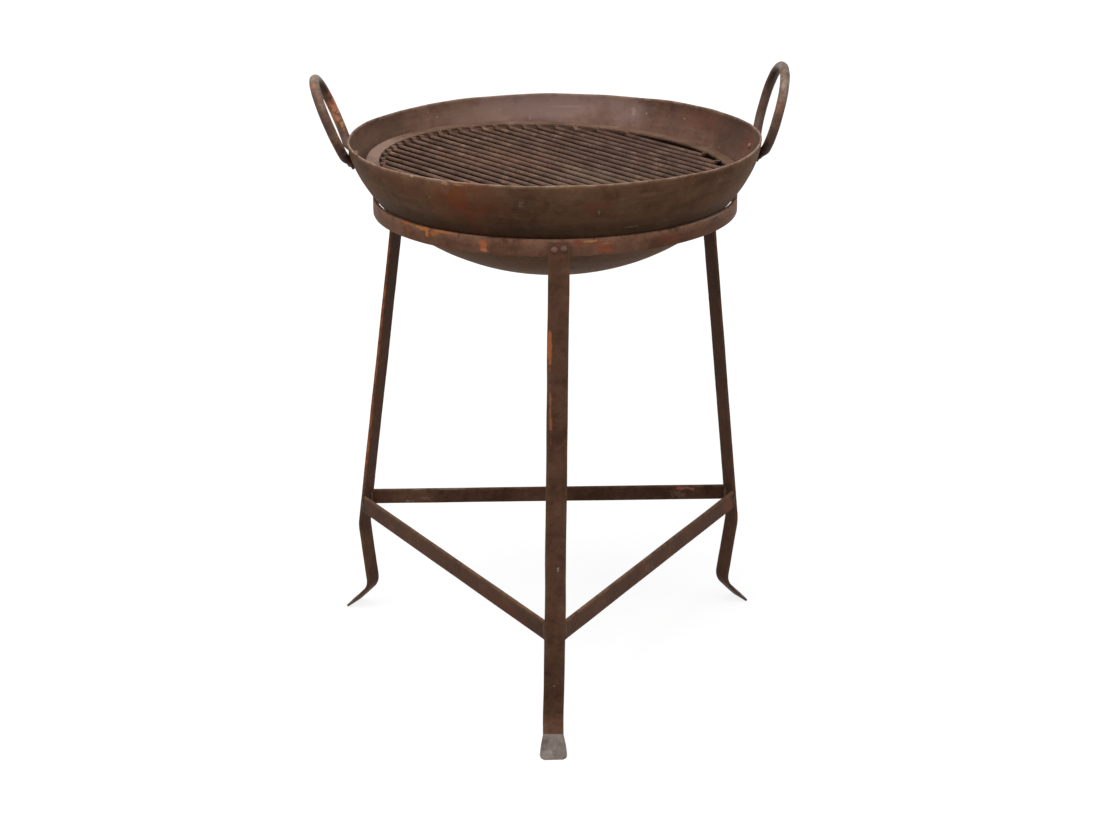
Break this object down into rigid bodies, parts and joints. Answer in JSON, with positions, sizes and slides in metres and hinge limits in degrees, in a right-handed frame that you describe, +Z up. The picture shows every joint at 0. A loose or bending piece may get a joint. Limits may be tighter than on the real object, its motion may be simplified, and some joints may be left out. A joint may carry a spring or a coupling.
{
  "type": "fire bowl",
  "caption": "Round-bottomed sheet steel fire bowl with two loop handles and a lift-out rod grate, resting in a flat-bar ring on bent legs tied by braces.",
  "frame": {"origin": "centre of the part's bounding box in plan, on the floor under the feet", "axes": "+Z up, front leg towards -Y, one handle at -X and one at +X"},
  "size_m": [0.6906, 0.6719, 0.9192],
  "materials": {
    "bowl_sheet": "dull, heat-darkened and lightly rusted",
    "stand_bar": "dull dark brown with rusty edges",
    "stand_rivet": "dull dark brown",
    "handle_bar": "dull grey-brown with rust patches",
    "handle_rivet": "dull grey-brown",
    "grate_plate": "dull brown, worn",
    "grate_rod": "dull dark brown"
  },
  "bodies": {
    "stand": {"stand_ring": "stand_bar", "leg_front": "stand_bar", "leg_left": "stand_bar", "leg_right": "stand_bar", "ring_rivets_front": "stand_rivet", "ring_rivets_left": "stand_rivet", "ring_rivets_right": "stand_rivet", "brace_left": "stand_bar", "brace_right": "stand_bar", "brace_back": "stand_bar"},
    "bowl": {"bowl": "bowl_sheet", "handle_left": "handle_bar", "handle_right": "handle_bar", "handle_rivets_left": "handle_rivet", "handle_rivets_right": "handle_rivet"},
    "grate": {"grate_plate": "grate_plate", "grate_rod_01": "grate_rod", "grate_rod_02": "grate_rod", "grate_rod_03": "grate_rod", "grate_rod_04": "grate_rod", "grate_rod_05": "grate_rod", "grate_rod_06": "grate_rod", "grate_rod_07": "grate_rod", "grate_rod_08": "grate_rod", "grate_rod_09": "grate_rod", "grate_rod_10": "grate_rod", "grate_rod_11": "grate_rod", "grate_rod_12": "grate_rod", "grate_rod_13": "grate_rod", "grate_rod_14": "grate_rod", "grate_rod_15": "grate_rod", "grate_rod_16": "grate_rod", "grate_rod_17": "grate_rod", "grate_rod_18": "grate_rod", "grate_rod_19": "grate_rod", "grate_rod_20": "grate_rod", "grate_rod_21": "grate_rod", "grate_rod_22": "grate_rod", "grate_rod_23": "grate_rod", "grate_rod_24": "grate_rod", "grate_rod_25": "grate_rod"}
  },
  "joints": [
    {"name": "bowl_lift", "type": "slide", "parent": "stand", "child": "bowl", "axis": [0, 0, 1], "range_m": [0, 0.3]},
    {"name": "grate_lift", "type": "slide", "parent": "bowl", "child": "grate", "axis": [0, 0, 1], "range_m": [0, 0.25]}
  ]
}
